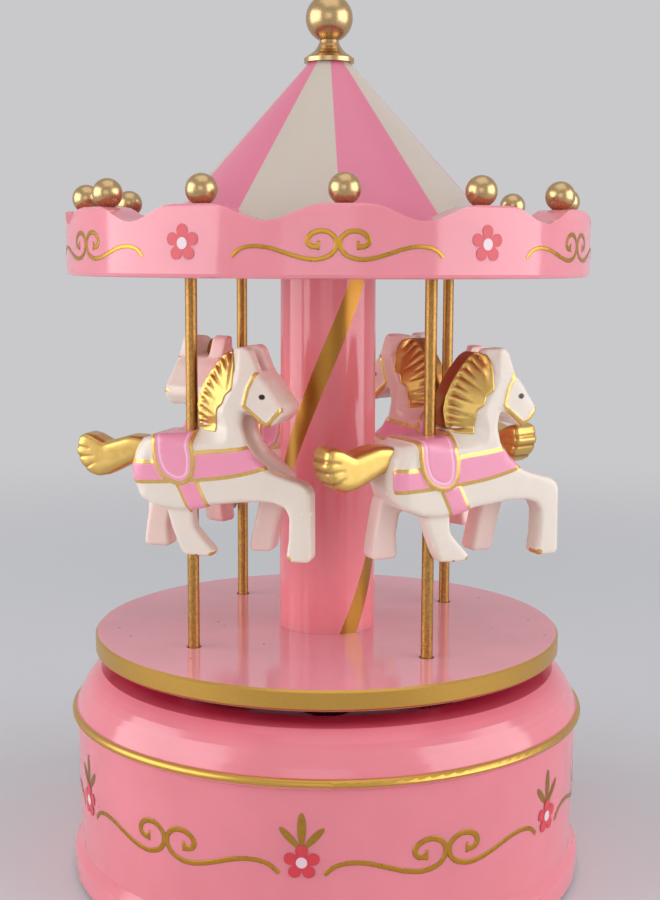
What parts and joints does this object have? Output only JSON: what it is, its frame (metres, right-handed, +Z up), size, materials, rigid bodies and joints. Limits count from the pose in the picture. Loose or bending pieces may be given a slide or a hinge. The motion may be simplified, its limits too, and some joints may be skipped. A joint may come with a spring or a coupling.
{
  "type": "carousel music box",
  "caption": "Wind-up music box shaped as a carousel, with a scalloped canopy, striped roof and horses that rise and fall as the platform turns.",
  "frame": {"origin": "on the table, under the centre of the base", "axes": "+Z up along the carousel's axis; -Y towards the front of the object as it is shown; +X to the right"},
  "size_m": [0.1014, 0.1014, 0.1705],
  "materials": {
    "pink_plastic": "gloss",
    "column_plastic": "gloss",
    "roof_plastic": "satin",
    "cover_plastic": "satin",
    "ivory_plastic": "gloss",
    "white_plastic": "matte",
    "dark_plastic": "matte",
    "gold_ball": "satin",
    "rod_bronze": "satin",
    "brass": "satin",
    "zinc": "cast",
    "steel": "satin",
    "spring_steel": "satin",
    "rubber": "matte"
  },
  "bodies": {
    "base": {"base_shell": "pink_plastic", "bottom_cover": "cover_plastic", "cover_screws": "steel", "foot_pads": "rubber", "horse_cam": "white_plastic", "bedplate": "zinc", "movement_screws": "steel", "spring_housing": "zinc", "mainspring": "spring_steel", "comb": "steel", "comb_screws": "steel", "governor_frame": "white_plastic"},
    "carousel": {"winding_arbor": "steel", "drive_wheel": "brass", "platform": "pink_plastic", "column": "column_plastic", "tie_rod": "steel", "ceiling": "pink_plastic", "canopy_rim": "pink_plastic", "rim_balls": "gold_ball", "roof": "roof_plastic", "finial": "gold_ball"},
    "rider_1": {"horse_rod_1": "rod_bronze", "horse_1": "ivory_plastic"},
    "rider_2": {"horse_rod_2": "rod_bronze", "horse_2": "ivory_plastic"},
    "rider_3": {"horse_rod_3": "rod_bronze", "horse_3": "ivory_plastic"},
    "rider_4": {"horse_rod_4": "rod_bronze", "horse_4": "ivory_plastic"},
    "cylinder": {"pin_cylinder": "brass", "cylinder_arbor": "steel", "cylinder_pinion": "brass", "cylinder_wheel": "brass"},
    "governor": {"governor_arbor": "brass", "worm_wheel": "white_plastic"},
    "worm": {"governor_worm": "steel", "air_brake": "dark_plastic"}
  },
  "joints": [
    {"name": "carousel_turn", "type": "hinge", "parent": "base", "child": "carousel", "pos_m": [0, 0, 0.0442], "axis": [0, 0, 1], "continuous": true},
    {"name": "horse_1_lift", "type": "slide", "parent": "carousel", "child": "rider_1", "axis": [0, 0, 1], "range_m": [-0.0045, 0]},
    {"name": "horse_2_lift", "type": "slide", "parent": "carousel", "child": "rider_2", "axis": [0, 0, 1], "range_m": [-0.0045, 0]},
    {"name": "horse_3_lift", "type": "slide", "parent": "carousel", "child": "rider_3", "axis": [0, 0, 1], "range_m": [-0.0045, 0]},
    {"name": "horse_4_lift", "type": "slide", "parent": "carousel", "child": "rider_4", "axis": [0, 0, 1], "range_m": [-0.0045, 0]},
    {"name": "cylinder_turn", "type": "hinge", "parent": "base", "child": "cylinder", "pos_m": [0.02, 0, 0.01865], "axis": [1, 0, 0], "continuous": true},
    {"name": "governor_turn", "type": "hinge", "parent": "base", "child": "governor", "pos_m": [0.035, -0.0075, 0.01865], "axis": [1, 0, 0], "continuous": true},
    {"name": "worm_turn", "type": "hinge", "parent": "base", "child": "worm", "pos_m": [0.03875, -0.014, 0.01865], "axis": [0, 0, 1], "continuous": true}
  ],
  "couplings": [
    {"joint": "cylinder_turn", "follows": "carousel_turn", "ratio": -3},
    {"joint": "governor_turn", "follows": "carousel_turn", "ratio": 8.25},
    {"joint": "worm_turn", "follows": "carousel_turn", "ratio": 165},
    {"joint": "horse_2_lift", "follows": "horse_1_lift", "ratio": 1},
    {"joint": "horse_3_lift", "follows": "horse_1_lift", "ratio": 1},
    {"joint": "horse_4_lift", "follows": "horse_1_lift", "ratio": 1}
  ]
}
